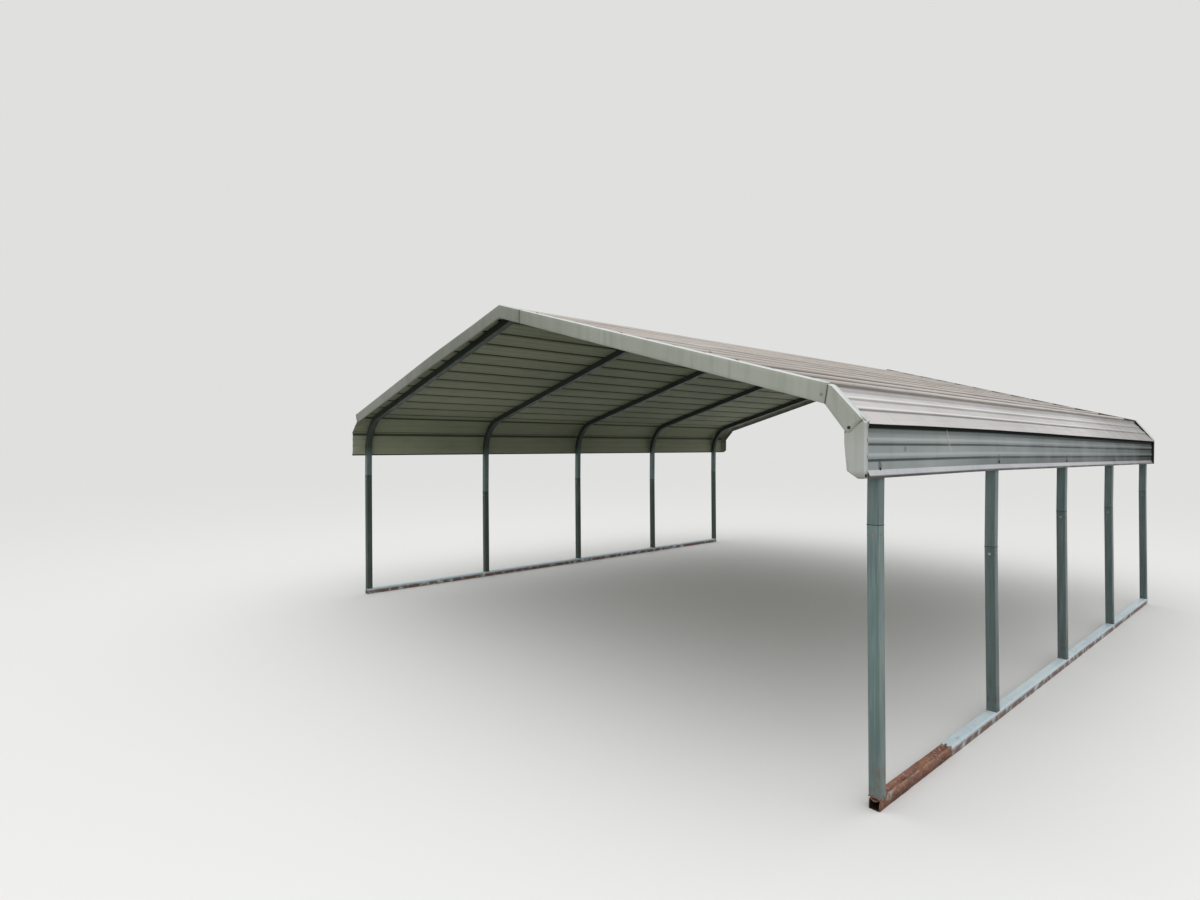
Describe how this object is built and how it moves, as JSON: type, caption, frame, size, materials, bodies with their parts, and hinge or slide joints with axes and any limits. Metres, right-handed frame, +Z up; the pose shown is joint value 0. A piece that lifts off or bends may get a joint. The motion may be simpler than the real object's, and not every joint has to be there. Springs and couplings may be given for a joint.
{
  "type": "carport",
  "caption": "Open carport on a bent square-tube steel frame, with a ribbed sheet roof, slanted eaves and folded gable trim, weathered and missing some trim at one corner",
  "frame": {"origin": "middle of the footprint, on the underside of the ground rails", "axes": "X across the carport, Y along the ridge with the front gable at -Y, Z up"},
  "size_m": [5.879, 6.513, 2.7429],
  "materials": {
    "frame_steel": "galvanised, dulled, with rust at the feet",
    "sheet_steel": "coated sheet, chalky and dirty",
    "trim_steel": "coated sheet, streaked"
  },
  "bodies": {
    "root": {"back_trim_drop_left": "trim_steel", "back_trim_drop_right": "trim_steel", "back_trim_slant_left": "trim_steel", "back_trim_slant_right": "trim_steel", "back_trim_slope_left": "trim_steel", "back_trim_slope_right": "trim_steel", "base_rail_left": "frame_steel", "base_rail_right": "frame_steel", "bottom_trim_left": "trim_steel", "bottom_trim_right": "trim_steel", "bow_1": "frame_steel", "bow_2": "frame_steel", "bow_3": "frame_steel", "bow_4": "frame_steel", "bow_5": "frame_steel", "drop_sheet_left": "sheet_steel", "drop_sheet_right": "sheet_steel", "front_trim_drop_right": "trim_steel", "front_trim_slant_right": "trim_steel", "front_trim_slope_left": "trim_steel", "front_trim_slope_right": "trim_steel", "post_left_1": "frame_steel", "post_left_2": "frame_steel", "post_left_3": "frame_steel", "post_left_4": "frame_steel", "post_left_5": "frame_steel", "post_right_1": "frame_steel", "post_right_2": "frame_steel", "post_right_3": "frame_steel", "post_right_4": "frame_steel", "post_right_5": "frame_steel", "roof_sheet_left_lower": "sheet_steel", "roof_sheet_left_middle": "sheet_steel", "roof_sheet_left_upper": "sheet_steel", "roof_sheet_ridge": "sheet_steel", "roof_sheet_right_lower": "sheet_steel", "roof_sheet_right_middle": "sheet_steel", "roof_sheet_right_upper": "sheet_steel", "slant_sheet_left": "sheet_steel", "slant_sheet_right": "sheet_steel"}
  },
  "joints": []
}
